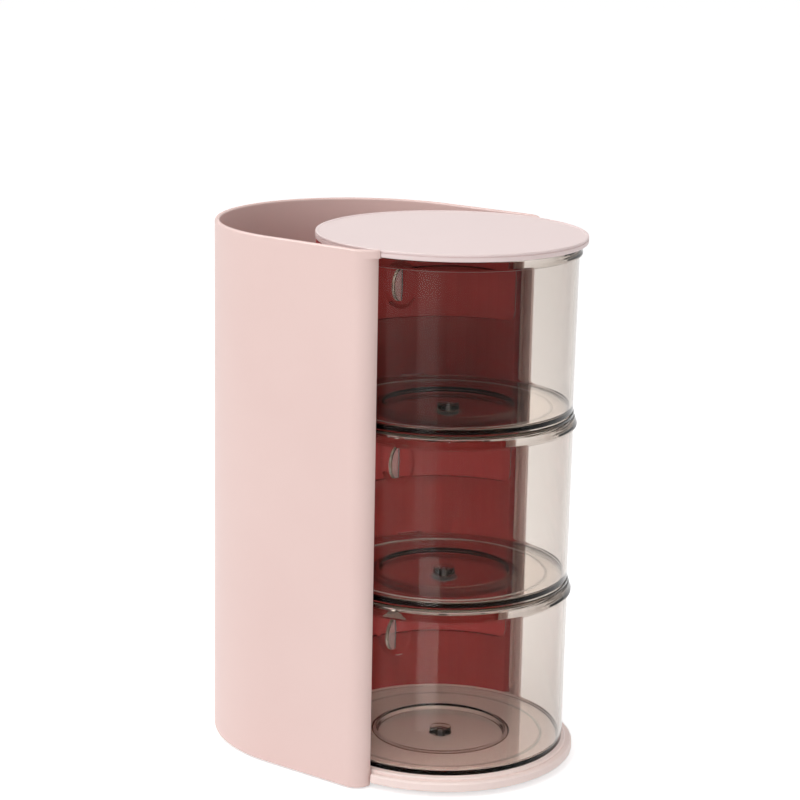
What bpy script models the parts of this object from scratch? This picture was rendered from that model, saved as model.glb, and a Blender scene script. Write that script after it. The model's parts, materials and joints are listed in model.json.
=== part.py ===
# Rotating storage box: a tall pink casing that wraps the left side of three
# round smoky trays. The casing holds an open comb compartment, and each tray
# turns by itself about one upright axis. Metres, +Z up, standing on its feet,
# with the origin under the middle of the footprint.

import math

import bmesh
import bpy
from mathutils import Matrix, Vector

for old_object in list(bpy.data.objects):
    bpy.data.objects.remove(old_object)

mm = 0.001

# Steps round a full turn, from the largest round pieces to the smallest
large_steps = 48
plate_steps = 40
pad_steps = 14
small_steps = 8
corner_steps = 5

# Gaps between pieces
running_gap = 0.3 * mm
seat_gap = 0.2 * mm
overrun = 3.0 * mm
merge_distance = 0.001 * mm

# Heights above the table
shell_lift = 1.0 * mm
base_lift = 3.0 * mm
base_top = 9.3 * mm

# Trays
tray_count = 3
tray_height = 84.0 * mm
tray_top_radius = 63.2 * mm
tray_taper = 0.5 * mm
tray_wall = 1.8 * mm
tray_floor = 2.0 * mm
tray_foot_chamfer = 0.8 * mm
tray_floor_fillet = 1.5 * mm
collar_flare = 1.6 * mm
collar_top_step = 0.2 * mm
collar_height = 4.8 * mm
collar_lip = 0.9 * mm
rim_round = 0.5 * mm
low_side_height = 33.0 * mm
low_side_x = -2.0 * mm
low_side_corner = 5.0 * mm
high_side_corner = 3.0 * mm

# Pull on each tray
pull_angle = math.radians(-75.5)
pull_radius = 7.9 * mm
pull_thickness = 1.8 * mm
pull_drop = 12.2 * mm
pull_root = 1.0 * mm
dish_radius = 10.5 * mm
dish_depth = 0.8 * mm

# Sunken hub and pivot of each tray
hub_radius = 35.2 * mm
hub_depth = 3.0 * mm
hub_wall = 2.0 * mm
hub_slope = 0.8 * mm
pin_radius = 4.0 * mm
pin_overhang = 0.3 * mm
boss_radius = 5.5 * mm
boss_height = 3.0 * mm
boss_roof = 1.5 * mm
cup_gap = 0.4 * mm
cup_wall = 1.6 * mm
cup_floor = 1.8 * mm

# Glide rings
glide_inset = 11.4 * mm
glide_width = 1.4 * mm
glide_height = 0.9 * mm
glide_groove = 1.0 * mm

# Shelves between the trays
shelf_thickness = 1.8 * mm
shelf_inset = 0.2 * mm
shelf_chamfer = 0.4 * mm
tongue_width = 10.0 * mm
tongue_pitch = 20.0 * mm
tongue_sides = 2

# Lid
lid_overhang = 2.6 * mm
lid_thickness = 3.8 * mm
lid_bead_height = 0.45 * mm
lid_bead_width = 1.6 * mm
lid_edge_round = 0.8 * mm
lid_recess = 1.2 * mm
lid_recess_inset = 8.4 * mm
lid_recess_slope = 1.5 * mm
lid_clearance = 0.4 * mm
lid_tongue_width = 9.4 * mm
lid_tongue_thickness = 1.0 * mm
lid_tongue_length = 4.4 * mm
lid_notch_depth = 5.0 * mm
lid_tongue_angles = [math.radians(angle) for angle in (114, 147, 180, 213, 246)]

# Partition between trays and comb compartment
partition_gap = 0.6 * mm
partition_wall = 1.6 * mm
partition_flange_x = -4.0 * mm
partition_steps = 36
partition_boss_radius = 4.0 * mm
partition_boss_overlap = 0.4 * mm
partition_boss_angles = [math.radians(angle) for angle in (130, 180, 230)]

# Casing
shell_side_room = 7.4 * mm
shell_depth = 56.0 * mm
shell_wall = 2.5 * mm
shell_corner = 8.5 * mm
shell_reach = 5.3 * mm
shell_ear = 2.0 * mm
shell_ear_slope = 0.4 * mm
shell_rim_round = 1.05 * mm
shell_rim_step = 0.35 * mm
shell_foot_round = 0.5 * mm
shell_end_steps = 32
guide_rib_width = 1.5 * mm
guide_rib_height = 2.0 * mm
guide_rib_root = 1.0 * mm
guide_rib_inset = 3.0 * mm
shell_boss_radius = 6.2 * mm
shell_boss_overlap = 0.3 * mm

# Base
base_flange_width = 3.2 * mm
base_flange_top = 7.8 * mm
base_flange_round = 0.8 * mm
base_flange_root = 1.4 * mm
base_flange_gap = 0.9 * mm
base_plate_thickness = 2.0 * mm
base_step_chamfer = 0.6 * mm
base_skirt = 2.4 * mm
base_skirt_step = 0.2 * mm
compartment_floor_drop = 0.3 * mm
compartment_skirt = 2.0 * mm
compartment_x = -3.5 * mm

# Screws, washers and feet
screw_radius = 1.2 * mm
screw_hole_radius = 1.5 * mm
pivot_head_radius = 3.4 * mm
pivot_head_height = 1.8 * mm
base_head_radius = 2.8 * mm
base_head_height = 1.8 * mm
head_round_share = 0.35
base_screw_length = 9.5 * mm
boss_rise = 10.0 * mm
washer_radius = 7.0 * mm
washer_thickness = 0.8 * mm
foot_radius = 6.0 * mm
foot_thickness = 2.0 * mm
foot_round = 0.5 * mm
foot_peg_radius = 2.0 * mm
foot_peg_length = 3.0 * mm
foot_pad_radius = 7.5 * mm
foot_front_inset = 18.8 * mm
foot_front_angle = math.radians(55)
foot_back_reach = 35.0 * mm
foot_back_inset = 29.4 * mm

# Sizes that follow from the ones above
tray_bottom_radius = tray_top_radius - tray_taper
collar_radius = tray_top_radius + collar_flare
collar_top_radius = tray_top_radius + collar_top_step
shelf_radius = tray_top_radius - shelf_inset
lid_radius = collar_radius + lid_overhang
lid_recess_radius = lid_radius - lid_recess_inset
glide_radius = tray_top_radius - glide_inset
base_step_radius = collar_radius
base_radius = base_step_radius + base_flange_width
tray_pitch = tray_height + shelf_thickness + 2 * running_gap
tray_levels = [base_top + running_gap + index * tray_pitch for index in range(tray_count)]
tray_names = ["lower", "middle", "upper"]
tray_stack_top = tray_levels[-1] + tray_height
lid_bottom = tray_stack_top + running_gap
lid_top = lid_bottom + lid_thickness
shell_top = lid_top
cup_depth = hub_depth
cup_radius = hub_radius + cup_gap
pin_hole_radius = pin_radius + running_gap
pin_length = running_gap + cup_floor + pin_overhang
partition_radius = collar_radius + partition_gap
partition_outer = partition_radius + partition_wall
partition_foot = base_top
partition_top = lid_bottom - running_gap
shell_half_width = partition_outer + shell_side_room
shell_inner = shell_half_width - shell_wall
shell_boss_inset = shell_boss_radius - shell_boss_overlap
compartment_floor = base_top - compartment_floor_drop
compartment_under = compartment_floor - base_plate_thickness
plate_half_width = shell_inner - running_gap
partition_boss_reach = partition_outer + partition_boss_radius - partition_boss_overlap
boss_top = compartment_floor + running_gap + boss_rise
foot_front_radius = base_step_radius - foot_front_inset
foot_back_x = -(shell_depth + foot_back_reach)
foot_back_y = shell_half_width - foot_back_inset
left_edge = -(shell_depth + shell_half_width)
axis_x = -(left_edge + base_radius) / 2


def make_material(name, colour, roughness, metallic=0.0, transmission=0.0):
    material = bpy.data.materials.new(name)
    material.use_nodes = True
    shader = material.node_tree.nodes["Principled BSDF"]
    shader.inputs["Base Color"].default_value = (*colour, 1.0)
    shader.inputs["Roughness"].default_value = roughness
    shader.inputs["Metallic"].default_value = metallic
    shader.inputs["Transmission Weight"].default_value = transmission
    return material


pink_plastic = make_material("pink_plastic", (0.80, 0.60, 0.56), 0.42)
lid_plastic = make_material("lid_plastic", (0.80, 0.67, 0.65), 0.40)
wine_plastic = make_material("wine_plastic", (0.28, 0.07, 0.07), 0.45)
smoky_plastic = make_material("smoky_plastic", (0.45, 0.38, 0.35), 0.08, transmission=0.9)
glide_plastic = make_material("glide_plastic", (0.75, 0.73, 0.70), 0.35)
steel = make_material("steel", (0.62, 0.62, 0.64), 0.30, metallic=1.0)
rubber = make_material("rubber", (0.12, 0.11, 0.11), 0.80)


def mesh_object(name, form, material=None):
    bmesh.ops.remove_doubles(form, verts=form.verts, dist=merge_distance)
    bmesh.ops.recalc_face_normals(form, faces=form.faces)
    mesh = bpy.data.meshes.new(name)
    form.to_mesh(mesh)
    form.free()
    piece = bpy.data.objects.new(name, mesh)
    bpy.context.collection.objects.link(piece)
    if material:
        mesh.materials.append(material)
    return piece


def turned(name, profile, steps, material=None):
    # The profile is a list of radius and height. It closes on itself unless
    # both its ends lie on the axis.
    form = bmesh.new()
    verts = [form.verts.new((radius, 0, height)) for radius, height in profile]
    edges = [form.edges.new(pair) for pair in zip(verts, verts[1:])]
    if profile[0][0] or profile[-1][0]:
        edges.append(form.edges.new((verts[-1], verts[0])))
    bmesh.ops.spin(form, geom=verts + edges, cent=(0, 0, 0), axis=(0, 0, 1),
                   angle=2 * math.pi, steps=steps, use_merge=True, use_duplicate=False)
    return mesh_object(name, form, material)


def lofted(name, sections, material=None):
    # Each section is a height and an outline of as many points
    form = bmesh.new()
    rings = [[form.verts.new((x, y, height)) for x, y in outline] for height, outline in sections]
    for low, high in zip(rings, rings[1:]):
        for index in range(len(low)):
            after = (index + 1) % len(low)
            form.faces.new((low[index], low[after], high[after], high[index]))
    form.faces.new(reversed(rings[0]))
    form.faces.new(rings[-1])
    return mesh_object(name, form, material)


def prism(name, outline, bottom, top, material=None):
    return lofted(name, [(bottom, outline), (top, outline)], material)


def block(name, low, high):
    outline = [(low[0], low[1]), (high[0], low[1]), (high[0], high[1]), (low[0], high[1])]
    return prism(name, outline, low[2], high[2])


def rod(name, centre, radius, bottom, top, steps=small_steps):
    piece = turned(name, [(0, bottom), (radius, bottom), (radius, top), (0, top)], steps)
    return moved(piece, Matrix.Translation((centre[0], centre[1], 0)))


def moved(piece, matrix):
    piece.data.transform(matrix)
    return piece


def combined(target, tools, operation):
    for tool in tools:
        modifier = target.modifiers.new(operation.lower(), "BOOLEAN")
        modifier.operation = operation
        modifier.object = tool
        evaluated = target.evaluated_get(bpy.context.evaluated_depsgraph_get())
        mesh = bpy.data.meshes.new_from_object(evaluated)
        target.modifiers.clear()
        target.data = mesh
        bpy.data.objects.remove(tool)
        form = bmesh.new()
        form.from_mesh(mesh)
        bmesh.ops.remove_doubles(form, verts=form.verts, dist=merge_distance)
        form.to_mesh(mesh)
        form.free()
    return target


def joined(target, *tools):
    return combined(target, tools, "UNION")


def cut(target, *tools):
    return combined(target, tools, "DIFFERENCE")


def placed(piece, height=0):
    piece.location = Vector((axis_x, 0, height))
    piece.data.shade_smooth()
    piece.data.set_sharp_from_angle(angle=math.radians(32))
    return piece


def polar(radius, angle):
    return (radius * math.cos(angle), radius * math.sin(angle))


def arc(centre, radius, start, end, steps):
    angles = [start + (end - start) * index / steps for index in range(steps + 1)]
    return [(centre[0] + radius * math.cos(a), centre[1] + radius * math.sin(a)) for a in angles]


# Casing
def shell_path(depth, reach, inset):
    # One face of the casing wall in plan, from the front lip round the back
    # to the rear lip. Depth is how far the face lies inside the outer one,
    # and inset how far the ends of the lips are drawn back.
    corner = (reach - shell_corner, shell_corner - shell_half_width)
    start = -math.asin(inset / (shell_corner - shell_wall / 2))
    front = arc(corner, shell_corner - depth, start, -math.pi / 2, corner_steps)
    round_end = arc((-shell_depth, 0), shell_half_width - depth, -math.pi / 2,
                    -3 * math.pi / 2, shell_end_steps)
    rear = [(x, -y) for x, y in reversed(front)]
    return front + round_end + rear


def shell_outline(inset, reach):
    outer = shell_path(inset, reach, inset)
    inner = shell_path(shell_wall - inset, reach, inset)
    return outer + inner[::-1]


def shell_bosses():
    inset = shell_inner - shell_boss_inset
    return [(-shell_depth - inset, 0), (-shell_depth, -inset), (-shell_depth, inset)]


def make_housing():
    wide = shell_reach + shell_ear
    ear_low = lid_bottom - running_gap
    sections = [
        (shell_lift, shell_outline(shell_foot_round, shell_reach)),
        (shell_lift + shell_foot_round, shell_outline(0, shell_reach)),
        (ear_low - shell_ear_slope, shell_outline(0, shell_reach)),
        (ear_low, shell_outline(0, wide)),
        (shell_top - shell_rim_round, shell_outline(0, wide)),
        (shell_top - shell_rim_step, shell_outline(shell_rim_step, wide)),
        (shell_top, shell_outline(shell_rim_round, wide)),
    ]
    shell = lofted("housing_shell", sections, pink_plastic)
    # The lid sits between the two ears of the rim
    cut(shell, rod("lid_room", (0, 0), lid_radius + lid_clearance,
                   ear_low, shell_top + overrun, large_steps))
    # Upright ribs that guide the partition's flanges
    slot_high = partition_flange_x + running_gap
    slot_low = partition_flange_x - partition_wall - running_gap
    for side in (-1, 1):
        for start in (slot_high, slot_low - guide_rib_width):
            near = side * (shell_inner - guide_rib_height)
            far = side * (shell_inner + guide_rib_root)
            low = (start, min(near, far), base_top + guide_rib_inset)
            high = (start + guide_rib_width, max(near, far), partition_top - guide_rib_inset)
            joined(shell, block("guide_rib", low, high))
    add_bosses(shell, shell_bosses(), shell_boss_radius)
    return placed(shell)


def add_bosses(target, centres, radius):
    # Round bosses that stand on the base, each with a blind hole for a screw
    foot = compartment_floor + running_gap
    for centre in centres:
        joined(target, rod("boss", centre, radius, foot, boss_top))
    for centre in centres:
        cut(target, rod("boss_hole", centre, screw_hole_radius, foot - overrun,
                        foot + base_screw_length - running_gap))


# Partition
def partition_outline():
    start_in = math.acos(partition_flange_x / partition_radius)
    back_x = partition_flange_x - partition_wall
    start_out = math.acos(back_x / partition_outer)
    full = 2 * math.pi
    inner = arc((0, 0), partition_radius, start_in, full - start_in, partition_steps)
    outer = arc((0, 0), partition_outer, full - start_out, start_out, partition_steps)
    tip = plate_half_width
    return inner + [(partition_flange_x, -tip), (back_x, -tip)] + outer + [
        (back_x, tip), (partition_flange_x, tip)]


def partition_bosses():
    return [polar(partition_boss_reach, angle) for angle in partition_boss_angles]


def tongue_places():
    return [index * tongue_pitch for index in range(-tongue_sides, tongue_sides + 1)]


def shelf_levels():
    return [level - running_gap for level in tray_levels[1:]]


def make_partition():
    wall = prism("inner_partition", partition_outline(), partition_foot, partition_top, wine_plastic)
    half = tongue_width / 2 + running_gap
    for top in shelf_levels():
        for place in tongue_places():
            inner_x = -math.sqrt(partition_radius ** 2 - (abs(place) + half) ** 2) + overrun
            low = (-partition_outer - overrun, place - half, top - shelf_thickness - running_gap)
            high = (inner_x, place + half, top + running_gap)
            cut(wall, block("shelf_slot", low, high))
    half = lid_tongue_width / 2 + running_gap
    for angle in lid_tongue_angles:
        low = (partition_radius - overrun, -half, partition_top - lid_notch_depth)
        high = (partition_outer + overrun, half, partition_top + overrun)
        cut(wall, moved(block("lid_notch", low, high), Matrix.Rotation(angle, 4, "Z")))
    add_bosses(wall, partition_bosses(), partition_boss_radius)
    return placed(wall)


# Lid
def make_lid():
    bead_inner = lid_radius - lid_bead_width
    plate_top = lid_top - lid_bead_height
    roof = lid_bottom + lid_recess
    lid = turned("top_lid", [
        (0, roof),
        (lid_recess_radius, roof),
        (lid_recess_radius + lid_recess_slope, lid_bottom),
        (lid_radius - lid_edge_round, lid_bottom),
        (lid_radius, lid_bottom + lid_edge_round),
        (lid_radius, lid_top - lid_edge_round),
        (lid_radius - lid_edge_round, lid_top),
        (bead_inner + lid_bead_height, lid_top),
        (bead_inner, plate_top),
        (0, plate_top),
    ], large_steps, lid_plastic)
    middle = (partition_radius + partition_outer) / 2
    for angle in lid_tongue_angles:
        low = (middle - lid_tongue_thickness / 2, -lid_tongue_width / 2, partition_top - lid_tongue_length)
        high = (middle + lid_tongue_thickness / 2, lid_tongue_width / 2, lid_bottom + lid_thickness / 2)
        joined(lid, moved(block("lid_tongue", low, high), Matrix.Rotation(angle, 4, "Z")))
    return placed(lid)


# Plates that carry the trays
def cup_profile(thickness):
    # Upper face from the pin hole to the glide groove, and the lower face
    # back to the cup, both measured from the plate's top.
    half_groove = glide_width / 2 + running_gap
    top = [
        (pin_hole_radius, -cup_depth),
        (cup_radius, -cup_depth),
        (cup_radius, 0),
        (glide_radius - half_groove, 0),
        (glide_radius - half_groove, -glide_groove),
        (glide_radius + half_groove, -glide_groove),
        (glide_radius + half_groove, 0),
    ]
    under = [
        (cup_radius + cup_wall, -thickness),
        (cup_radius + cup_wall, -cup_depth - cup_floor),
        (pin_hole_radius, -cup_depth - cup_floor),
    ]
    return top, under


def make_shelf(name, level):
    top, under = cup_profile(shelf_thickness)
    edge = [
        (shelf_radius - shelf_chamfer, 0),
        (shelf_radius, -shelf_chamfer),
        (shelf_radius, -shelf_thickness),
    ]
    shelf = turned(name, top + edge + under, plate_steps, smoky_plastic)
    half = tongue_width / 2
    end_radius = partition_outer - seat_gap
    sink = shelf_chamfer / 2
    for place in tongue_places():
        end_x = -math.sqrt(end_radius ** 2 - (abs(place) + half) ** 2)
        root_x = -math.sqrt(shelf_radius ** 2 - (abs(place) + half) ** 2) + overrun
        low = (end_x, place - half, -shelf_thickness + sink)
        high = (root_x, place + half, -sink)
        joined(shelf, block("tongue", low, high))
    return placed(shelf, level)


def foot_places():
    front_x, front_y = polar(foot_front_radius, foot_front_angle)
    return {
        "front_right": (front_x, -front_y),
        "rear_right": (front_x, front_y),
        "front_left": (foot_back_x, -foot_back_y),
        "rear_left": (foot_back_x, foot_back_y),
    }


def compartment_outline(inset, end_x):
    radius = plate_half_width - inset
    end = arc((-shell_depth, 0), radius, math.pi / 2, 3 * math.pi / 2, shell_end_steps)
    return [(end_x, radius)] + end + [(end_x, -radius)]


def make_base():
    top, under = cup_profile(base_plate_thickness)
    skirt_low = base_lift + 2 * base_skirt_step - base_top
    step = [
        (base_step_radius - base_step_chamfer, 0),
        (base_step_radius, -base_step_chamfer),
        (base_step_radius, skirt_low),
        (base_step_radius - base_skirt, skirt_low),
        (base_step_radius - base_skirt, -base_plate_thickness),
    ]
    base = turned("base_plate", top + step + under, large_steps, pink_plastic)
    moved(base, Matrix.Translation((0, 0, base_top)))
    # Flange that shows in front of the trays, between the casing's two lips
    root = base_step_radius - base_flange_root
    flange = turned("flange", [
        (root, base_lift),
        (base_radius - base_flange_round, base_lift),
        (base_radius, base_lift + base_flange_round),
        (base_radius, base_flange_top - base_flange_round),
        (base_radius - base_flange_round, base_flange_top),
        (root, base_flange_top),
    ], large_steps)
    reach = base_radius + overrun
    cut(flange, block("behind", (-reach, -reach, base_lift - overrun),
                      (shell_reach + base_flange_gap, reach, base_flange_top + overrun)))
    joined(base, flange)
    # Floor of the comb compartment, with a skirt under its edge
    skirt = base_lift + base_skirt_step
    floor = prism("floor", compartment_outline(0, compartment_x), skirt, compartment_floor)
    room = compartment_outline(compartment_skirt, compartment_x + overrun)
    cut(floor, prism("room", room, skirt - overrun, compartment_under),
        rod("round_room", (0, 0), base_step_radius - base_skirt / 2, skirt - overrun,
            compartment_floor + overrun, large_steps))
    joined(base, floor)
    pad_low = foot_thickness + seat_gap
    for centre in foot_places().values():
        joined(base, rod("foot_pad", centre, foot_pad_radius, pad_low,
                         compartment_under + base_plate_thickness / 2, pad_steps))
    for centre in foot_places().values():
        cut(base, rod("peg_hole", centre, foot_peg_radius + seat_gap, pad_low - overrun,
                      foot_thickness + foot_peg_length + running_gap))
    for centre in shell_bosses() + partition_bosses():
        cut(base, rod("screw_hole", centre, screw_hole_radius, compartment_under - overrun,
                      compartment_floor + overrun))
    return placed(base)


# Trays
def high_side_cutter():
    # Seen from the front, what goes is all behind the tray's high wall and
    # over its low side, with round corners at the step and at the top.
    outer = -collar_radius - overrun
    over = tray_height + overrun
    low_arc = arc((low_side_x - low_side_corner, low_side_height + low_side_corner),
                  low_side_corner, -math.pi / 2, 0, corner_steps)
    top_arc = arc((low_side_x + high_side_corner, tray_height - high_side_corner),
                  high_side_corner, math.pi, math.pi / 2, corner_steps)
    outline = [(outer, over), (outer, low_side_height)] + low_arc + top_arc + [
        (low_side_x + high_side_corner, over)]
    side = collar_radius + overrun
    cutter = prism("low_side", outline, -side, side)
    return moved(cutter, Matrix.Rotation(math.pi / 2, 4, "X"))


def pull_fin():
    # A half disc that stands out from the wall, its straight side in the wall
    wall_radius = wall_radius_at(pull_level()) - pull_root
    outline = [(wall_radius, -pull_radius), (wall_radius + pull_root, -pull_radius)]
    outline += arc((wall_radius + pull_root, 0), pull_radius, -math.pi / 2, math.pi / 2,
                   2 * corner_steps)[1:]
    outline += [(wall_radius, pull_radius)]
    fin = prism("pull", outline, -pull_thickness / 2, pull_thickness / 2)
    turn = Matrix.Rotation(pull_angle, 4, "Z") @ Matrix.Translation((0, 0, pull_level()))
    return moved(fin, turn @ Matrix.Rotation(math.pi / 2, 4, "X"))


def pull_level():
    return tray_height - pull_drop


def wall_radius_at(height):
    share = height / (tray_height - collar_height)
    return tray_bottom_radius + (tray_top_radius - tray_bottom_radius) * share


def dish_cutter():
    # A shallow round dish in the wall, which gives the fingertip room
    ball_radius = (dish_radius ** 2 + dish_depth ** 2) / (2 * dish_depth)
    rings = 3
    spread = math.asin(dish_radius / ball_radius)
    cap = [(0, 0)]
    for index in range(1, rings + 2):
        angle = spread * index / rings
        cap.append((ball_radius * math.sin(angle), ball_radius * (1 - math.cos(angle))))
    cap += [(cap[-1][0], cap[-1][1] + overrun), (0, cap[-1][1] + overrun)]
    ball = turned("dish", cap, pad_steps)
    centre = wall_radius_at(pull_level()) - dish_depth
    turn = Matrix.Rotation(pull_angle, 4, "Z") @ Matrix.Translation((centre, 0, pull_level()))
    return moved(ball, turn @ Matrix.Rotation(math.pi / 2, 4, "Y"))


def tray_profile():
    collar_low = tray_height - collar_height
    hub_floor = -hub_depth + hub_wall
    hub_inner = hub_radius - hub_wall
    floor_radius = tray_bottom_radius - tray_wall
    return [
        (0, -hub_depth),
        (hub_radius, -hub_depth),
        (hub_radius, 0),
        (tray_bottom_radius - tray_foot_chamfer, 0),
        (tray_bottom_radius, tray_foot_chamfer),
        (tray_top_radius, collar_low),
        (collar_radius, collar_low),
        (collar_radius, collar_low + collar_lip),
        (collar_top_radius, tray_height - rim_round),
        (collar_top_radius - rim_round, tray_height),
        (tray_top_radius - tray_wall, tray_height),
        (floor_radius, tray_floor + tray_floor_fillet),
        (floor_radius - tray_floor_fillet, tray_floor),
        (hub_inner, tray_floor),
        (hub_inner - hub_slope, hub_floor),
        (0, hub_floor),
    ]


def pivot_profile():
    # Boss on the hub's floor and pin under it, round one blind hole
    hub_floor = -hub_depth + hub_wall
    pin_low = -hub_depth - pin_length
    hole_top = hub_floor + boss_height - boss_roof
    return [
        (0, hole_top),
        (screw_hole_radius, hole_top),
        (screw_hole_radius, pin_low),
        (pin_radius, pin_low),
        (pin_radius, -hub_depth + hub_wall / 2),
        (boss_radius, -hub_depth + hub_wall / 2),
        (boss_radius, hub_floor + boss_height),
        (0, hub_floor + boss_height),
    ]


def make_tray(name, level):
    tray = turned(name, tray_profile(), large_steps, smoky_plastic)
    cut(tray, high_side_cutter(), dish_cutter())
    joined(tray, pull_fin())
    # The floor gives way to the pivot, whose blind hole reaches up into the boss
    hub_floor = -hub_depth + hub_wall
    room_radius = (screw_hole_radius + pin_radius) / 2
    cut(tray, rod("pivot_room", (0, 0), room_radius, -hub_depth - overrun, hub_floor + overrun))
    joined(tray, turned("pivot", pivot_profile(), pad_steps))
    return placed(tray, level)


# Glide rings, washers, screws and feet
def make_glide_ring(name, level):
    low = seat_gap - glide_groove
    inner = glide_radius - glide_width / 2
    outer = glide_radius + glide_width / 2
    ring = turned(name, [(inner, low), (outer, low), (outer, low + glide_height),
                         (inner, low + glide_height)], plate_steps, glide_plastic)
    return placed(ring, level)


def make_washer(name, level):
    top = -hub_depth - pin_length - seat_gap
    low = top - washer_thickness
    washer = turned(name, [(screw_hole_radius, low), (washer_radius, low), (washer_radius, top),
                           (screw_hole_radius, top)], pad_steps, steel)
    return placed(washer, level)


def screw_profile(head_radius, head_height, seat, tip):
    # Head below, shank up to its tip
    edge = head_height * head_round_share
    return [
        (0, seat - head_height),
        (head_radius - edge, seat - head_height),
        (head_radius, seat - head_height + edge),
        (head_radius, seat),
        (screw_radius, seat),
        (screw_radius, tip),
        (0, tip),
    ]


def make_pivot_screw(name, level):
    seat = -hub_depth - pin_length - 2 * seat_gap - washer_thickness
    tip = -hub_depth + hub_wall + boss_height - boss_roof - running_gap
    profile = screw_profile(pivot_head_radius, pivot_head_height, seat, tip)
    return placed(turned(name, profile, small_steps, steel), level)


def make_base_screw(name, centre):
    seat = compartment_under - seat_gap
    tip = compartment_floor + base_screw_length - running_gap
    profile = screw_profile(base_head_radius, base_head_height, seat, tip)
    screw = turned(name, profile, small_steps, steel)
    return placed(moved(screw, Matrix.Translation((centre[0], centre[1], 0))))


def make_foot(name, centre):
    foot = turned(name, [
        (0, 0),
        (foot_radius - foot_round, 0),
        (foot_radius, foot_round),
        (foot_radius, foot_thickness),
        (foot_peg_radius, foot_thickness),
        (foot_peg_radius, foot_thickness + foot_peg_length),
        (0, foot_thickness + foot_peg_length),
    ], pad_steps, rubber)
    return placed(moved(foot, Matrix.Translation((centre[0], centre[1], 0))))


make_housing()
make_partition()
make_base()
make_lid()

for tray_name, tray_level in zip(tray_names, tray_levels):
    make_tray("tray_" + tray_name, tray_level)
    make_washer("pivot_washer_" + tray_name, tray_level)
    make_pivot_screw("pivot_screw_" + tray_name, tray_level)
    make_glide_ring("glide_ring_" + tray_name, tray_level - running_gap)

for tray_name, shelf_level in zip(tray_names[1:], shelf_levels()):
    make_shelf("shelf_" + tray_name, shelf_level)

housing_screw_names = ["housing_screw_left", "housing_screw_front", "housing_screw_rear"]
for screw_name, screw_place in zip(housing_screw_names, shell_bosses()):
    make_base_screw(screw_name, screw_place)

partition_screw_names = ["partition_screw_rear", "partition_screw_middle", "partition_screw_front"]
for screw_name, screw_place in zip(partition_screw_names, partition_bosses()):
    make_base_screw(screw_name, screw_place)

for foot_name, foot_place in foot_places().items():
    make_foot("foot_" + foot_name, foot_place)
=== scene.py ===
import bpy
import bmesh
import json
from math import radians, degrees, pi, sin, cos, tan, asin, acos, sqrt
from mathutils import Matrix, Vector

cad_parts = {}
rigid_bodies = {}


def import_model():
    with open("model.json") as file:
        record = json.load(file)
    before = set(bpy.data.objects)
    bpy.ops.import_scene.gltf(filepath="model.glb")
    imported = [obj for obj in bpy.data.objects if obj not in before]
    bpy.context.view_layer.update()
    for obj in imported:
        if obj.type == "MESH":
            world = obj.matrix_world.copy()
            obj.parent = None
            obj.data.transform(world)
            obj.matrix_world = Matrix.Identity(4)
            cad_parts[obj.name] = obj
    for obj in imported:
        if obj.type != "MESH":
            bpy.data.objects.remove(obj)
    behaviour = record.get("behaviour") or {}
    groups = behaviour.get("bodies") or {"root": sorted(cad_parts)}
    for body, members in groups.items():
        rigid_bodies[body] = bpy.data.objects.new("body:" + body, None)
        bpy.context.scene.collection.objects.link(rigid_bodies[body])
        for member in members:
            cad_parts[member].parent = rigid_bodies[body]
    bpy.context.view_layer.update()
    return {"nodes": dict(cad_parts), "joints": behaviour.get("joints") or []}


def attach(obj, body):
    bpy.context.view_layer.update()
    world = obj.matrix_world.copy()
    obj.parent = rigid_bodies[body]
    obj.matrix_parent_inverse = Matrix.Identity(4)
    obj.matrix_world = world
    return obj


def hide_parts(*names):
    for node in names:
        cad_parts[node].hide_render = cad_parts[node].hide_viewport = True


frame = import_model()
nodes = frame["nodes"]
mm = 0.001
print("frame loaded,", len(nodes), "pieces")


# Colours are written as in a paint program, 0 to 255
def paint(red, green, blue):
    def linear(value):
        value = value / 255
        return value / 12.92 if value <= 0.04045 else ((value + 0.055) / 1.055) ** 2.4
    return (linear(red), linear(green), linear(blue), 1)


noiseRange = (0.3, 0.7)  # nearly all values of the noise lie in it


def startMaterial(name):
    material = bpy.data.materials.new(name)
    material.use_nodes = True
    tree = material.node_tree
    return material, tree, tree.nodes["Principled BSDF"]


def fill(node, values):
    for socket, value in values.items():
        node.inputs[socket].default_value = value


def speckle(tree, scale, detail=2.0):
    where = tree.nodes.new("ShaderNodeTexCoord")
    noise = tree.nodes.new("ShaderNodeTexNoise")
    fill(noise, {"Scale": scale, "Detail": detail})
    tree.links.new(where.outputs["Object"], noise.inputs["Vector"])
    return noise.outputs["Fac"]


def mapped(tree, value, source, target):
    node = tree.nodes.new("ShaderNodeMapRange")
    fill(node, {"From Min": source[0], "From Max": source[1],
                "To Min": target[0], "To Max": target[1]})
    tree.links.new(value, node.inputs["Value"])
    return node.outputs["Result"]


def twoTones(tree, value, tones):
    ramp = tree.nodes.new("ShaderNodeValToRGB")
    for index, tone in enumerate(tones):
        ramp.color_ramp.elements[index].position = noiseRange[index]
        ramp.color_ramp.elements[index].color = tone
    tree.links.new(value, ramp.inputs["Fac"])
    return ramp.outputs["Color"]


def addBump(tree, shader, height, distance, strength):
    bump = tree.nodes.new("ShaderNodeBump")
    fill(bump, {"Distance": distance, "Strength": strength})
    tree.links.new(height, bump.inputs["Height"])
    tree.links.new(bump.outputs["Normal"], shader.inputs["Normal"])


# What the matt plastics share, unless their own dictionary says otherwise
mattPlastic = {
    "grainDepth": 0.02 * mm,
    "grainStrength": 0.5,
    "ior": 1.46,
    "shine": 0.5,
}


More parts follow.
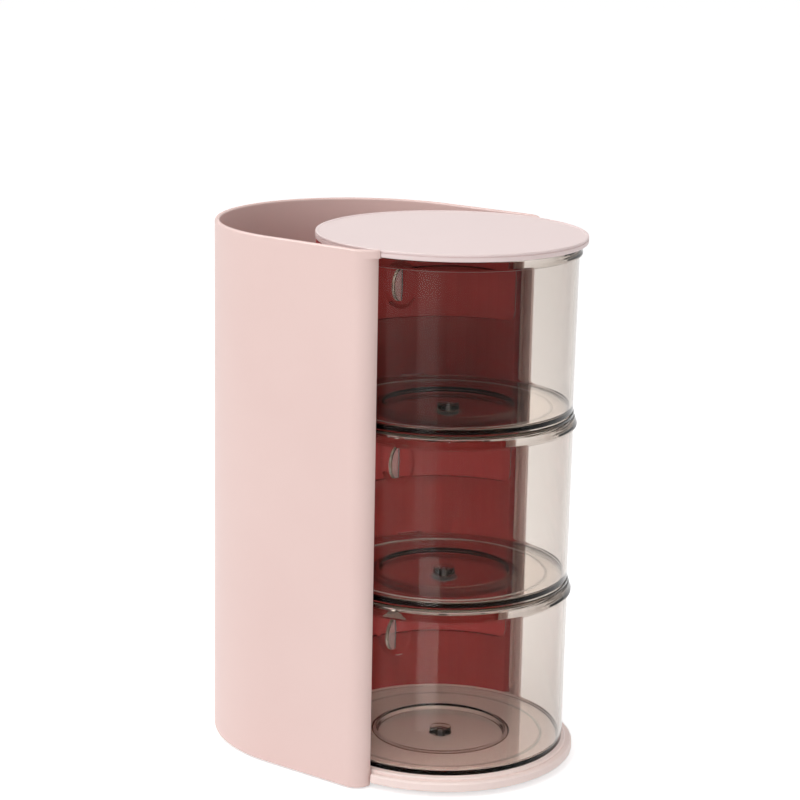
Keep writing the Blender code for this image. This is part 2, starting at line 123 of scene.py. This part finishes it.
def makeMattPlastic(name, ownRecipe):
    recipe = {**mattPlastic, **ownRecipe}
    material, tree, shader = startMaterial(name)
    cloud = speckle(tree, recipe["cloudScale"])
    grain = speckle(tree, recipe["grainScale"])
    colour = twoTones(tree, cloud, (recipe["deep"], recipe["light"]))
    roughness = mapped(tree, cloud, noiseRange, recipe["roughness"])
    tree.links.new(colour, shader.inputs["Base Color"])
    tree.links.new(roughness, shader.inputs["Roughness"])
    addBump(tree, shader, grain, recipe["grainDepth"], recipe["grainStrength"])
    fill(shader, {"IOR": recipe["ior"], "Specular IOR Level": recipe["shine"]})
    return material


pinkSatin = {
    "light": paint(233, 205, 199),
    "deep": paint(230, 201, 195),
    "cloudScale": 14.0,
    "grainScale": 1800.0,
    "roughness": (0.40, 0.47),
}

# Painted light: the casing's own pink plastic, painted lighter because the base's flange faces up
# and catches more light
basePink = {
    "light": paint(250, 230, 224),
    "deep": paint(247, 226, 220),
    "cloudScale": 16.0,
    "grainScale": 1800.0,
    "roughness": (0.36, 0.43),
}

lidSatin = {
    "light": paint(234, 215, 213),
    "deep": paint(231, 211, 209),
    "cloudScale": 11.0,
    "grainScale": 1800.0,
    "roughness": (0.38, 0.45),
}

# Painted shade: a saturated red that stands in for the drum's pink plastic, darkened and reddened
# by interreflection in the closed drum; lighter than it looks, because smoky walls stand in front
# of it
winePlastic = {
    "light": paint(185, 73, 71),
    "deep": paint(177, 68, 66),
    "cloudScale": 20.0,
    "grainScale": 1500.0,
    "roughness": (0.5, 0.6),
    "shine": 0.2,
}

footRubber = {
    "light": paint(70, 67, 66),
    "deep": paint(58, 55, 55),
    "cloudScale": 120.0,
    "grainScale": 2500.0,
    "roughness": (0.72, 0.86),
    "grainDepth": 0.05 * mm,
}

glidePlastic = {
    "light": paint(205, 200, 194),
    "deep": paint(196, 190, 184),
    "cloudScale": 60.0,
    "grainScale": 1500.0,
    "roughness": (0.3, 0.4),
}

smokyClear = {
    "colour": (0.97, 0.96, 0.95, 1),
    "ior": 1.49,
    "roughness": (0.015, 0.04),
    "waveScale": 9.0,
    "waveDetail": 1.0,
    "waveDepth": 0.05 * mm,
    "waveStrength": 0.3,
    "absorbed": (0.34, 0.225, 0.12, 1),
    "density": 160.0,
    "glint": (0.12, 0.12, 0.12, 1),
}


def makeSmokyClear(recipe):
    material, tree, shader = startMaterial("smokyClear")
    wave = speckle(tree, recipe["waveScale"], recipe["waveDetail"])
    fill(shader, {"Base Color": recipe["colour"], "Transmission Weight": 1.0,
                  "IOR": recipe["ior"], "Specular Tint": recipe["glint"]})
    roughness = mapped(tree, wave, noiseRange, recipe["roughness"])
    tree.links.new(roughness, shader.inputs["Roughness"])
    addBump(tree, shader, wave, recipe["waveDepth"], recipe["waveStrength"])
    absorption = tree.nodes.new("ShaderNodeVolumeAbsorption")
    fill(absorption, {"Color": recipe["absorbed"], "Density": recipe["density"]})
    tree.links.new(absorption.outputs["Volume"], tree.nodes["Material Output"].inputs["Volume"])
    return material


zincSteel = {
    "light": paint(178, 178, 182),
    "deep": paint(150, 150, 154),
    "grainScale": 400.0,
    "grainDetail": 3.0,
    "roughness": (0.25, 0.4),
}


def makeZincSteel(recipe):
    material, tree, shader = startMaterial("zincSteel")
    grain = speckle(tree, recipe["grainScale"], recipe["grainDetail"])
    colour = twoTones(tree, grain, (recipe["deep"], recipe["light"]))
    roughness = mapped(tree, grain, noiseRange, recipe["roughness"])
    tree.links.new(colour, shader.inputs["Base Color"])
    tree.links.new(roughness, shader.inputs["Roughness"])
    fill(shader, {"Metallic": 1.0})
    return material


finishes = {
    "pink": makeMattPlastic("pinkSatin", pinkSatin),
    "base": makeMattPlastic("basePink", basePink),
    "lid": makeMattPlastic("lidSatin", lidSatin),
    "wine": makeMattPlastic("winePlastic", winePlastic),
    "smoky": makeSmokyClear(smokyClear),
    "steel": makeZincSteel(zincSteel),
    "rubber": makeMattPlastic("footRubber", footRubber),
    "glide": makeMattPlastic("glidePlastic", glidePlastic),
}
print("finishes ready")

# The stack of trays turns about one upright line
axisX = frame["joints"][0]["pos_m"][0]
trayBodies = {joint["child"]: joint["pos_m"][2] for joint in frame["joints"]}

weldGap = 0.001 * mm
cornerShare = 0.49  # how much of an edge one rounded corner may take
smoothAngle = 40


def turned(angle, axis):
    return Matrix.Rotation(radians(angle), 4, axis)


def moved(x, y, z):
    return Matrix.Translation((x * mm, y * mm, z * mm))


def ontoAxis(piece, level):
    piece.data.transform(Matrix.Translation((axisX, 0, level)))


def rectangle(left, right, near, far, *corner):
    places = ((left, near), (right, near), (right, far), (left, far))
    return [(x, y, *corner) for x, y in places]


def arc(centreX, centreY, radius, first, last, steps):
    turns = [radians(first + (last - first) * step / steps) for step in range(steps + 1)]
    return [(centreX + radius * cos(turn), centreY + radius * sin(turn)) for turn in turns]


# A third number in a point is the radius of its corner
def softCorners(points, steps=5, closed=False):
    line = []
    count = len(points)
    for index, point in enumerate(points):
        here = Vector(point[:2])
        radius = point[2] if len(point) > 2 else 0
        if radius == 0 or (not closed and index in (0, count - 1)):
            line.append(tuple(here))
            continue
        toBefore = Vector(points[index - 1][:2]) - here
        toAfter = Vector(points[(index + 1) % count][:2]) - here
        room = cornerShare * min(toBefore.length, toAfter.length)
        half = toBefore.angle(toAfter) / 2
        back = min(radius / tan(half), room)
        first = here + toBefore.normalized() * back
        last = here + toAfter.normalized() * back
        between = (toBefore.normalized() + toAfter.normalized()).normalized()
        centre = here + between * (back / cos(half))
        for step in range(steps + 1):
            turn = (first - centre).lerp(last - centre, step / steps).normalized()
            line.append(tuple(centre + turn * (back * tan(half))))
    return line


def linked(name, data):
    thing = bpy.data.objects.new(name, data)
    bpy.context.collection.objects.link(thing)
    return thing


def meshPiece(name, shape):
    bmesh.ops.remove_doubles(shape, verts=shape.verts, dist=weldGap)
    bmesh.ops.recalc_face_normals(shape, faces=shape.faces)
    mesh = bpy.data.meshes.new(name)
    shape.to_mesh(mesh)
    shape.free()
    return linked(name, mesh)


def spun(name, profile, steps=180, closed=False):
    shape = bmesh.new()
    points = [shape.verts.new((across * mm, 0, up * mm)) for across, up in profile]
    edges = [shape.edges.new(pair) for pair in zip(points, points[1:])]
    if closed:
        edges.append(shape.edges.new((points[-1], points[0])))
    bmesh.ops.spin(shape, geom=points + edges, cent=(0, 0, 0), axis=(0, 0, 1),
                   angle=2 * pi, steps=steps, use_merge=True)
    return meshPiece(name, shape)


def stacked(name, layers):
    shape = bmesh.new()
    rings = [[shape.verts.new((x * mm, y * mm, level * mm)) for x, y in outline]
             for outline, level in layers]
    for below, above in zip(rings, rings[1:]):
        for index in range(len(below)):
            after = (index + 1) % len(below)
            shape.faces.new((below[index], below[after], above[after], above[index]))
    shape.faces.new(reversed(rings[0]))
    shape.faces.new(rings[-1])
    return meshPiece(name, shape)


def slab(name, outline, low, high):
    return stacked(name, [(outline, low), (outline, high)])


def applyModifiers(piece):
    shaped = piece.evaluated_get(bpy.context.evaluated_depsgraph_get())
    piece.data = bpy.data.meshes.new_from_object(shaped)
    piece.modifiers.clear()


def carve(piece, tool, how="DIFFERENCE"):
    step = piece.modifiers.new("carve", "BOOLEAN")
    step.operation = how
    step.object = tool
    applyModifiers(piece)
    bpy.data.objects.remove(tool)


def addBevel(piece, width, angle, segments=4):
    step = piece.modifiers.new("softEdges", "BEVEL")
    step.width = width * mm
    step.segments = segments
    step.limit_method = "ANGLE"
    step.angle_limit = radians(angle)


def bevelled(piece, width, angle, segments=4):
    addBevel(piece, width, angle, segments)
    applyModifiers(piece)


def addEvenShading(piece):
    step = piece.modifiers.new("evenShading", "WEIGHTED_NORMAL")
    step.keep_sharp = True


def dress(piece, finish):
    piece.data.materials.clear()
    piece.data.materials.append(finishes[finish])


def settle(piece, finish, body, *standsFor):
    dress(piece, finish)
    piece.data.shade_smooth()
    piece.data.set_sharp_from_angle(angle=radians(smoothAngle))
    addEvenShading(piece)
    piece.visible_shadow = finish != "smoky"  # lamps shine through clear plastic
    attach(piece, body)
    if standsFor:
        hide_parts(*standsFor)


# By the whole name of a node, or else by its first word
finishOfNode = {"housing_shell": "pink", "base_plate": "base", "top_lid": "lid",
                "inner_partition": "wine"}
finishOfKind = {"tray": "smoky", "shelf": "smoky", "pivot": "steel", "housing": "steel",
                "partition": "steel", "foot": "rubber", "glide": "glide"}
baseEdges = {
    "width": 0.7,
    "angle": 50,
}

for nodeName, node in nodes.items():
    dress(node, finishOfNode.get(nodeName) or finishOfKind[nodeName.split("_")[0]])
addBevel(nodes["base_plate"], baseEdges["width"], baseEdges["angle"])
addEvenShading(nodes["base_plate"])
print("packed pieces dressed")


smokyTray = {
    "height": 84.0,
    "collarLine": 79.2,
    "wallFoot": 62.7,
    "wallFlare": 0.5,
    "profile": [
        (0, 0.5), (1.5, 0.5), (1.5, -5.4), (4.0, -5.4, 0.3), (4.0, -3.0, 0.3),
        (35.2, -3.0, 0.5), (35.2, 0, 0.4), (62.7, 0, 0.9), (63.2, 79.2, 0.3),
        (64.8, 79.2, 0.35), (64.8, 80.2, 0.5), (63.5, 83.4, 0.6), (62.6, 84.0, 0.5),
        (61.4, 84.0, 0.5), (60.9, 2.0, 1.6), (33.2, 2.0, 0.6), (32.4, -1.0, 0.6),
        (5.5, -1.0, 0.5), (5.5, 2.0, 0.6), (0, 2.0),
    ],
    "edgeRound": 0.35,
    "lowSide": 33.0,
    "lowSideX": -2.0,
    "lowCorner": 5.0,
    "topCorner": 3.0,
    "topCornerRun": 3.6,
    "pullAngle": -77.0,
    "pullHeight": 71.8,
    "pullRadius": 7.9,
    "pullThickness": 1.8,
    "pullRoot": 2.4,
    "pullEdge": 0.5,
    "dishRadius": 12.4,
    "dishDepth": 1.6,
    "dishWall": 1.4,
    "bulgeSink": 0.2,
    "bulgeBelowRim": 0.8,
}


def ballCap(radius, end, steps, drop=0):
    turns = [end * step / steps for step in range(steps + 1)]
    return [(radius * sin(turn), radius * (1 - cos(turn)) - drop) for turn in turns]


# The side that faces the partition is low, with a round corner at each end
def cutLowSide(tray, recipe):
    edge, low, top = recipe["lowSideX"], recipe["lowSide"], recipe["height"]
    cornerEnd = edge + recipe["topCornerRun"]
    past, above, hair = 72, 4, 0.001  # how far the cutter stands out, and its least step
    outline = [(-past, top + above), (-past, low), (edge, low, recipe["lowCorner"]),
               (edge, top, recipe["topCorner"]), (cornerEnd, top + hair),
               (cornerEnd, top + above)]
    window = slab("window", softCorners(outline, steps=8), -past, past)
    window.data.transform(turned(90, "X"))
    carve(tray, window)
    bevelled(tray, recipe["edgeRound"], angle=55, segments=3)


# A shallow round dish lies behind the pull, below the collar; the wall bulges inward there
def addDish(tray, recipe, wall, toPull):
    radius, depth, thick = recipe["dishRadius"], recipe["dishDepth"], recipe["dishWall"]
    ball = (radius ** 2 + depth ** 2) / (2 * depth)
    toDish = toPull @ moved(wall - depth, 0, recipe["pullHeight"]) @ turned(90, "Y")
    room, roomTop = rectangle(-90, 90, -90, 90), 100
    end = acos(1 - (thick + recipe["bulgeSink"]) / (ball + thick))
    swell = ballCap(ball + thick, end, 12, thick)
    bulge = spun("bulge", swell + [(0, swell[-1][1])], steps=72)
    bulge.data.transform(toDish)
    rimRoom = slab("rimRoom", room, recipe["height"] - recipe["bulgeBelowRim"], roomTop)
    carve(bulge, rimRoom)
    carve(tray, bulge, "UNION")
    overrun, outward = 1.25, 8.0  # the cutter goes on past the dish's rim and outward
    cap = ballCap(ball, asin(radius / ball) * overrun, 14)
    dish = spun("dish", cap + [(cap[-1][0], outward), (0, outward)], steps=72)
    dish.data.transform(toDish)
    carve(dish, slab("collarRoom", room, recipe["collarLine"], roomTop))
    carve(tray, dish)


# Half-round fin with softened rims
def addPull(tray, recipe, wall, toPull):
    reach, half = recipe["pullRadius"], recipe["pullThickness"] / 2
    root = wall - recipe["pullRoot"]
    outline = [(root, -reach)] + arc(wall, 0, reach, -90, 90, 32) + [(root, reach)]
    fin = slab("fin", outline, -half, half)
    bevelled(fin, recipe["pullEdge"], angle=60)
    fin.data.transform(toPull @ moved(0, 0, recipe["pullHeight"]) @ turned(90, "X"))
    carve(tray, fin, "UNION")


def makeTray(recipe):
    tray = spun("smokyTray", softCorners(recipe["profile"]), steps=192)
    cutLowSide(tray, recipe)
    wall = recipe["wallFoot"] + recipe["wallFlare"] * recipe["pullHeight"] / recipe["collarLine"]
    toPull = turned(recipe["pullAngle"], "Z")
    addDish(tray, recipe, wall, toPull)
    addPull(tray, recipe, wall, toPull)
    return tray


firstTray = makeTray(smokyTray)
for body, level in trayBodies.items():
    tray = linked(body.replace("turning_tray_", "smokyTray."), firstTray.data.copy())
    ontoAxis(tray, level)
    settle(tray, "smoky", body, body.replace("turning_", ""))
bpy.data.objects.remove(firstTray)
print("trays ready")


plateGap = 0.3  # from a tray down to the plate that carries it

smokyShelf = {
    "profile": [
        (4.3, -3.0), (35.6, -3.0, 0.5), (35.6, 0, 0.3), (50.8, 0), (50.8, -1.0),
        (52.8, -1.0), (52.8, 0), (63.0, 0, 0.5), (63.0, -1.8, 0.5), (37.2, -1.8, 0.4),
        (37.2, -4.8, 0.6), (4.3, -4.8),
    ],
    "radius": 63.0,
    "tongueRows": (-40, -20, 0, 20, 40),
    "tongueHalf": 5,
    "tongueTip": 66.8,
    "tongueRoot": 3,
    "tongueCorner": 0.8,
    "tongueLevels": (-1.6, -0.2),
}


def makeShelf(name, recipe, level, standsFor):
    shelf = spun(name, softCorners(recipe["profile"]), closed=True)
    half, corner = recipe["tongueHalf"], recipe["tongueCorner"]
    for row in recipe["tongueRows"]:
        sideways = (abs(row) + half) ** 2
        tip = -sqrt(recipe["tongueTip"] ** 2 - sideways)
        root = -sqrt(recipe["radius"] ** 2 - sideways) + recipe["tongueRoot"]
        outline = softCorners([(tip, row - half, corner), (root, row - half),
                               (root, row + half), (tip, row + half, corner)], closed=True)
        carve(shelf, slab("tongue", outline, *recipe["tongueLevels"]), "UNION")
    ontoAxis(shelf, level)
    settle(shelf, "smoky", "housing", standsFor)


glideRing = {
    "profile": [(51.1, -0.8, 0.2), (52.5, -0.8, 0.2), (52.5, 0.1, 0.3), (51.1, 0.1, 0.3)],
}


def makeGlideRing(name, recipe, level, standsFor):
    ring = spun(name, softCorners(recipe["profile"], closed=True), closed=True)
    ontoAxis(ring, level)
    settle(ring, "glide", "housing", standsFor)


for body, level in trayBodies.items():
    which = body.replace("turning_tray_", "")
    plateLevel = level - plateGap * mm
    makeGlideRing("glideRing." + which, glideRing, plateLevel, "glide_ring_" + which)
    if which != "lower":
        makeShelf("smokyShelf." + which, smokyShelf, plateLevel, "shelf_" + which)
print("shelves ready")


crossScrew = {
    "domeShare": 0.55,
    "sideShare": 0.5,
    "domeRound": 0.8,
    "sideRound": 0.7,
    "rimRound": 0.15,
    "shank": 1.2,
    "plainShank": 0.6,
    "threadDepth": 0.22,
    "threadPitch": 0.8,
    "tipBevel": 0.5,
    "recessWidth": 0.85,
    "recessDepth": 1.0,
    "recessShare": 0.62,
}

# Head radius, head height, seat and tip, by the first word of the node's name
screwKinds = {
    "pivot": (3.4, 1.8, -6.6, 0.2),
    "housing": (2.8, 1.8, 6.8, 18.2),
    "partition": (2.8, 1.8, 6.8, 18.2),
}

washer = {
    "profile": [(1.5, -6.4, 0.1), (7.0, -6.4, 0.25), (7.0, -5.6, 0.25), (1.5, -5.6, 0.1)],
}

rubberFoot = {
    "profile": [
        (0, 0.4), (3.4, 0.4, 0.3), (4.0, 0, 0.2), (6.0, 0, 0.6), (6.0, 2.0, 0.25),
        (2.0, 2.0), (2.0, 5.0, 0.4), (0, 5.0),
    ],
}


def makeScrew(name, recipe, kind):
    radius, height, seat, tip = screwKinds[kind]
    shank, pitch, bottom = recipe["shank"], recipe["threadPitch"], seat - height
    plain, bevel = recipe["plainShank"], recipe["tipBevel"]
    profile = [(0, bottom), (radius * recipe["domeShare"], bottom, recipe["domeRound"]),
               (radius, bottom + height * recipe["sideShare"], recipe["sideRound"]),
               (radius, seat, recipe["rimRound"]), (shank, seat)]
    for turn in range(int((tip - seat - 2 * plain) / pitch)):
        level = seat + plain + turn * pitch
        profile += [(shank, level), (shank - recipe["threadDepth"], level + pitch / 2)]
    profile += [(shank, tip - bevel), (shank - bevel, tip), (0, tip)]
    screw = spun(name, softCorners(profile), steps=40)
    long, half = radius * recipe["recessShare"], recipe["recessWidth"] / 2
    for reach, across in ((long, half), (half, long)):
        outline = rectangle(-reach, reach, -across, across)
        carve(screw, slab("recess", outline, bottom - 1, bottom + recipe["recessDepth"]))
    return screw


def middleOf(node):
    corners = [node.matrix_world @ Vector(corner) for corner in node.bound_box]
    alongX, alongY = [[corner[axis] for corner in corners] for axis in (0, 1)]
    return (min(alongX) + max(alongX)) / 2, (min(alongY) + max(alongY)) / 2


for nodeName, node in nodes.items():
    kind, word = nodeName.split("_")[:2]
    body = "turning_tray_" + nodeName.split("_")[-1] if kind == "pivot" else "housing"
    level = trayBodies[body] if kind == "pivot" else 0
    if word == "screw":
        piece = makeScrew("crossScrew." + nodeName, crossScrew, kind)
    elif word == "washer":
        ring = softCorners(washer["profile"], closed=True)
        piece = spun("washer." + nodeName, ring, steps=64, closed=True)
    elif kind == "foot":
        piece = spun("rubberFoot." + nodeName, softCorners(rubberFoot["profile"]), steps=64)
    else:
        continue
    piece.data.transform(Matrix.Translation((*middleOf(node), level)))
    settle(piece, "rubber" if kind == "foot" else "steel", body, nodeName)
print("screws, washers and feet ready")


roundLid = {
    "bottom": 266.7,
    "profile": [
        (0, 1.2), (59.0, 1.2, 0.8), (60.5, 0, 0.8), (67.4, 0, 0.8), (67.4, 2.2),
        (66.95, 2.35), (66.95, 2.6), (67.4, 2.75), (67.4, 3.8, 0.6), (66.0, 3.8, 0.5),
        (65.4, 3.35, 0.6), (0, 3.35),
    ],
    "tongueAngles": (114, 147, 180, 213, 246),
    "tongueSpan": (65.7, 66.7),
    "tongueHalf": 4.7,
    "tongueLevels": (-4.7, 1.9),
}


def makeLid(recipe):
    lid = spun("roundLid", softCorners(recipe["profile"]), steps=192)
    half = recipe["tongueHalf"]
    for angle in recipe["tongueAngles"]:
        outline = rectangle(*recipe["tongueSpan"], -half, half)
        tongue = slab("tongue", outline, *recipe["tongueLevels"])
        tongue.data.transform(turned(angle, "Z"))
        carve(lid, tongue, "UNION")
    ontoAxis(lid, recipe["bottom"] * mm)
    settle(lid, "lid", "housing", "top_lid")


makeLid(roundLid)
print("lid ready")


casing = {
    "halfWidth": 74.4,
    "endCentre": -56.0,
    "wall": 2.5,
    "corner": 8.5,
    "reach": (4.8, 5.8),
    "earEnd": 7.3,
    "earRound": 1.0,
    "low": 1.0,
    "high": 270.5,
    "lidLevel": 266.4,
    "lidRoom": 67.8,
    "rimRound": 1.15,
    "footRound": 0.6,
    "edgeRound": 0.45,
    "ribs": (-7.4, -3.7),
    "ribThickness": 1.5,
    "ribCorner": 0.5,
    "ribSpan": (69.9, 72.9),
    "ribLevels": (12.3, 263.4),
    "bosses": ((-122.0, 0), (-56.0, -66.0), (-56.0, 66.0)),
    "bossProfile": [
        (1.5, 9.3), (6.2, 9.3), (6.2, 18.7), (5.6, 19.3), (0, 19.3), (0, 18.5), (1.5, 18.5),
    ],
}
lipSteps, earSteps, endSteps = 16, 12, 96  # points on each lip, on its ear and on the round end
sliver = 0.0005 * mm


# The line of one lip, "deep" under the outer face; "grown" is how far its ear is out
def casingLip(recipe, reach, deep, grown, inset):
    corner = recipe["corner"]
    start = -degrees(asin(inset / (corner - recipe["wall"] / 2)))
    lip = arc(reach - corner, corner - recipe["halfWidth"], corner - deep, start, -90, lipSteps)
    for index in range(earSteps):
        share = 1 - index / earSteps
        x, y = lip[index]
        lip[index] = (x + grown * (recipe["earEnd"] - reach) * share * share * (3 - 2 * share), y)
    return lip


def casingFace(recipe, deep, grown, inset):
    front, rear = [casingLip(recipe, reach, deep, grown, inset) for reach in recipe["reach"]]
    end = arc(recipe["endCentre"], 0, recipe["halfWidth"] - deep, -90, -270, endSteps)
    return front + end + [(x, -y) for x, y in reversed(rear)]


def quarterRound(steps):
    turns = [radians(90 * step / steps) for step in range(steps + 1)]
    return [(1 - sin(turn), 1 - cos(turn)) for turn in turns]


def makeCasing(recipe):
    wall, low, high, lidLevel = [recipe[word] for word in ("wall", "low", "high", "lidLevel")]
    foot, ear, rim = recipe["footRound"], recipe["earRound"], recipe["rimRound"]
    levels = sorted((low + foot * down, foot * inward, 0) for down, inward in quarterRound(3))
    # Over the opening the lip widens into an ear, with a round corner
    levels += [(lidLevel - ear * down, 0, outward) for down, outward in quarterRound(8)]
    levels += [(high - rim * down, rim * inward, 1) for down, inward in quarterRound(6)]
    layers = []
    for level, inset, grown in levels:
        outer = casingFace(recipe, inset, grown, inset)
        inner = casingFace(recipe, wall - inset, grown, inset)
        layers.append((outer + inner[::-1], level))
    shell = stacked("casing", layers)
    above = 4  # how far the cutter stands out on top
    carve(shell, spun("lidRoom", rectangle(0, recipe["lidRoom"], lidLevel, high + above)))
    bevelled(shell, recipe["edgeRound"], angle=55)
    for side in (-1, 1):
        for rib in recipe["ribs"]:
            near, far = sorted(side * place for place in recipe["ribSpan"])
            outline = rectangle(rib, rib + recipe["ribThickness"], near, far, recipe["ribCorner"])
            outline = softCorners(outline, closed=True)
            carve(shell, slab("rib", outline, *recipe["ribLevels"]), "UNION")
    for x, y in recipe["bosses"]:
        boss = spun("boss", recipe["bossProfile"], steps=40, closed=True)
        boss.data.transform(moved(x, y, 0))
        carve(shell, boss, "UNION")
    whole = bmesh.new()
    whole.from_mesh(shell.data)
    bmesh.ops.dissolve_degenerate(whole, dist=sliver, edges=whole.edges)
    whole.to_mesh(shell.data)
    whole.free()
    ontoAxis(shell, 0)
    settle(shell, "pink", "housing", "housing_shell")


makeCasing(casing)
print("casing ready")


studio = {
    "floorRadius": 9.0,
    "floorColour": (0.88, 0.88, 0.89, 1),
    "floorRoughness": 0.9,
    "floorShine": 0.1,
    "floorGlow": 0.57,
    "worldColour": (1.0, 0.985, 0.975, 1),
    "worldStrength": 0.5,
    "frontWay": (0.578, -0.816, 0.0),
    "frontFade": (0.1, 0.6),
    "frontWhite": 0.12,
    "ceilingFade": (0.45, 0.7),
    "ceilingWhite": 0.05,
    "aim": (0.0, 0.0, 0.14),
}

# Each soft box: place, width and height, watts, and what it lights
softBoxes = {
    "keyBox": {"place": (-0.15, -1.5, 0.65), "size": (1.2, 1.0), "power": 6.6,
               "inGloss": False},
    "topBox": {"place": (-0.25, -0.35, 1.55), "size": (1.0, 1.0), "power": 10.6,
               "inGloss": True},
    "sideBox": {"place": (1.4, -0.3, 0.4), "size": (0.9, 0.7), "power": 1.6,
                "inGloss": False},
    "backBox": {"place": (-0.5, 1.5, 0.8), "size": (1.0, 0.8), "power": 4.5,
                "inGloss": False, "lights": "box"},
    "lowStripe": {"place": (0.0879, -0.1193, 0.052), "size": (0.034, 0.095), "power": 0.09,
                  "inGloss": True, "inDiffuse": False, "aim": (0.0640, -0.0535, 0.052),
                  "lights": "trays"},
    "highStripe": {"place": (0.0794, -0.1230, 0.178), "size": (0.034, 0.155), "power": 0.06,
                   "inGloss": True, "inDiffuse": False, "aim": (0.0602, -0.0557, 0.178),
                   "lights": "trays"},
    "nearSpark": {"place": (0.75, -0.75, 1.3), "size": (0.6, 0.08), "power": 9.0,
                  "inGloss": True, "inDiffuse": False},
    "leftSpark": {"place": (-0.95, -0.6, 1.25), "size": (0.7, 0.12), "power": 16.0,
                  "inGloss": True, "inDiffuse": False},
}


def softBox(name, box):
    light = bpy.data.lights.new(name, "AREA")
    light.shape = "RECTANGLE"
    light.size, light.size_y = box["size"]
    light.energy = box["power"]
    lamp = linked(name, light)
    lamp.location = box["place"]
    toward = Vector(box.get("aim", studio["aim"])) - Vector(box["place"])
    lamp.rotation_euler = toward.to_track_quat("-Z", "Y").to_euler()
    lamp.visible_camera = False
    lamp.visible_glossy = box["inGloss"]
    lamp.visible_diffuse = box.get("inDiffuse", True)
    lamp.visible_transmission = box.get("inDiffuse", True)
    if "lights" in box:
        lamp.light_linking.receiver_collection = litPieces[box["lights"]]


# Some lamps light the trays alone, or the box without the floor
litPieces = {which: bpy.data.collections.new("lit." + which) for which in ("trays", "box")}
for piece in bpy.data.objects:
    if piece.type == "MESH":
        litPieces["box"].objects.link(piece)
    if piece.name.startswith("smokyTray"):
        litPieces["trays"].objects.link(piece)
for name, box in softBoxes.items():
    softBox(name, box)


def combine(tree, operation, first, second):
    node = tree.nodes.new("ShaderNodeMath")
    node.operation = operation
    tree.links.new(first, node.inputs[0])
    tree.links.new(second, node.inputs[1])
    return node.outputs[0]


# One for what is seen straight, in gloss or through clear plastic, and zero for the rest
def seenRays(tree, path):
    indirect = combine(tree, "MAXIMUM", path["Is Glossy Ray"], path["Is Transmission Ray"])
    return combine(tree, "MAXIMUM", path["Is Camera Ray"], indirect)


def makeWorld(recipe):
    world = bpy.data.worlds.new("studioWorld")
    bpy.context.scene.world = world
    world.use_nodes = True
    tree = world.node_tree
    tree.nodes.clear()
    path = tree.nodes.new("ShaderNodeLightPath").outputs
    way = tree.nodes.new("ShaderNodeTexCoord").outputs["Generated"]
    light = tree.nodes.new("ShaderNodeBackground")
    fill(light, {"Color": recipe["worldColour"], "Strength": recipe["worldStrength"]})
    # Gloss sees white behind the box, and darker in front of it
    front = tree.nodes.new("ShaderNodeVectorMath")
    front.operation = "DOT_PRODUCT"
    front.inputs[1].default_value = recipe["frontWay"]
    tree.links.new(way, front.inputs[0])
    shade = mapped(tree, front.outputs["Value"], recipe["frontFade"], (1.0, recipe["frontWhite"]))
    # The edges of clear plastic show a dark ceiling, as they do in a room
    upright = tree.nodes.new("ShaderNodeSeparateXYZ")
    tree.links.new(way, upright.inputs[0])
    ceiling = mapped(tree, upright.outputs["Z"], recipe["ceilingFade"],
                     (1.0, recipe["ceilingWhite"]))
    clear = combine(tree, "MULTIPLY", path["Is Transmission Ray"], ceiling)
    gloss = combine(tree, "MULTIPLY", shade, ceiling)
    direct = combine(tree, "MAXIMUM", path["Is Camera Ray"], clear)
    white = tree.nodes.new("ShaderNodeBackground")
    tree.links.new(combine(tree, "MAXIMUM", direct, gloss), white.inputs["Strength"])
    mix = tree.nodes.new("ShaderNodeMixShader")
    tree.links.new(seenRays(tree, path), mix.inputs["Fac"])
    tree.links.new(light.outputs[0], mix.inputs[1])
    tree.links.new(white.outputs[0], mix.inputs[2])
    out = tree.nodes.new("ShaderNodeOutputWorld")
    tree.links.new(mix.outputs[0], out.inputs["Surface"])


def makeFloor(recipe):
    shape = bmesh.new()
    bmesh.ops.create_circle(shape, cap_ends=True, radius=recipe["floorRadius"], segments=64)
    mesh = bpy.data.meshes.new("paleFloor")
    shape.to_mesh(mesh)
    shape.free()
    floor = linked("paleFloor", mesh)
    material, tree, shader = startMaterial("paleFloor")
    fill(shader, {"Base Color": recipe["floorColour"], "Roughness": recipe["floorRoughness"],
                  "Specular IOR Level": recipe["floorShine"], "Emission Color": (1, 1, 1, 1)})
    path = tree.nodes.new("ShaderNodeLightPath").outputs
    glow = tree.nodes.new("ShaderNodeMath")
    glow.operation = "MULTIPLY"
    glow.inputs[1].default_value = recipe["floorGlow"]
    tree.links.new(seenRays(tree, path), glow.inputs[0])
    tree.links.new(glow.outputs[0], shader.inputs["Emission Strength"])
    mesh.materials.append(material)


makeWorld(studio)
makeFloor(studio)
print("studio ready")


photoCamera = {
    "place": (0.6915, -0.9325, 0.4567),
    "heading": 36.51,
    "downTilt": 13.4,
    "roll": 1.093,
    "lens": 105.5,
    "sensorWidth": 36,
}
cameraData = bpy.data.cameras.new("photoCamera")
cameraData.lens = photoCamera["lens"]
cameraData.sensor_width = photoCamera["sensorWidth"]
camera = linked("photoCamera", cameraData)
camera.matrix_world = (
    Matrix.Translation(photoCamera["place"])
    @ turned(photoCamera["heading"], "Z")
    @ turned(90 - photoCamera["downTilt"], "X")
    @ turned(photoCamera["roll"], "Z")
)
bpy.context.scene.camera = camera
bpy.context.scene.view_settings.view_transform = "Standard"
print("camera ready")
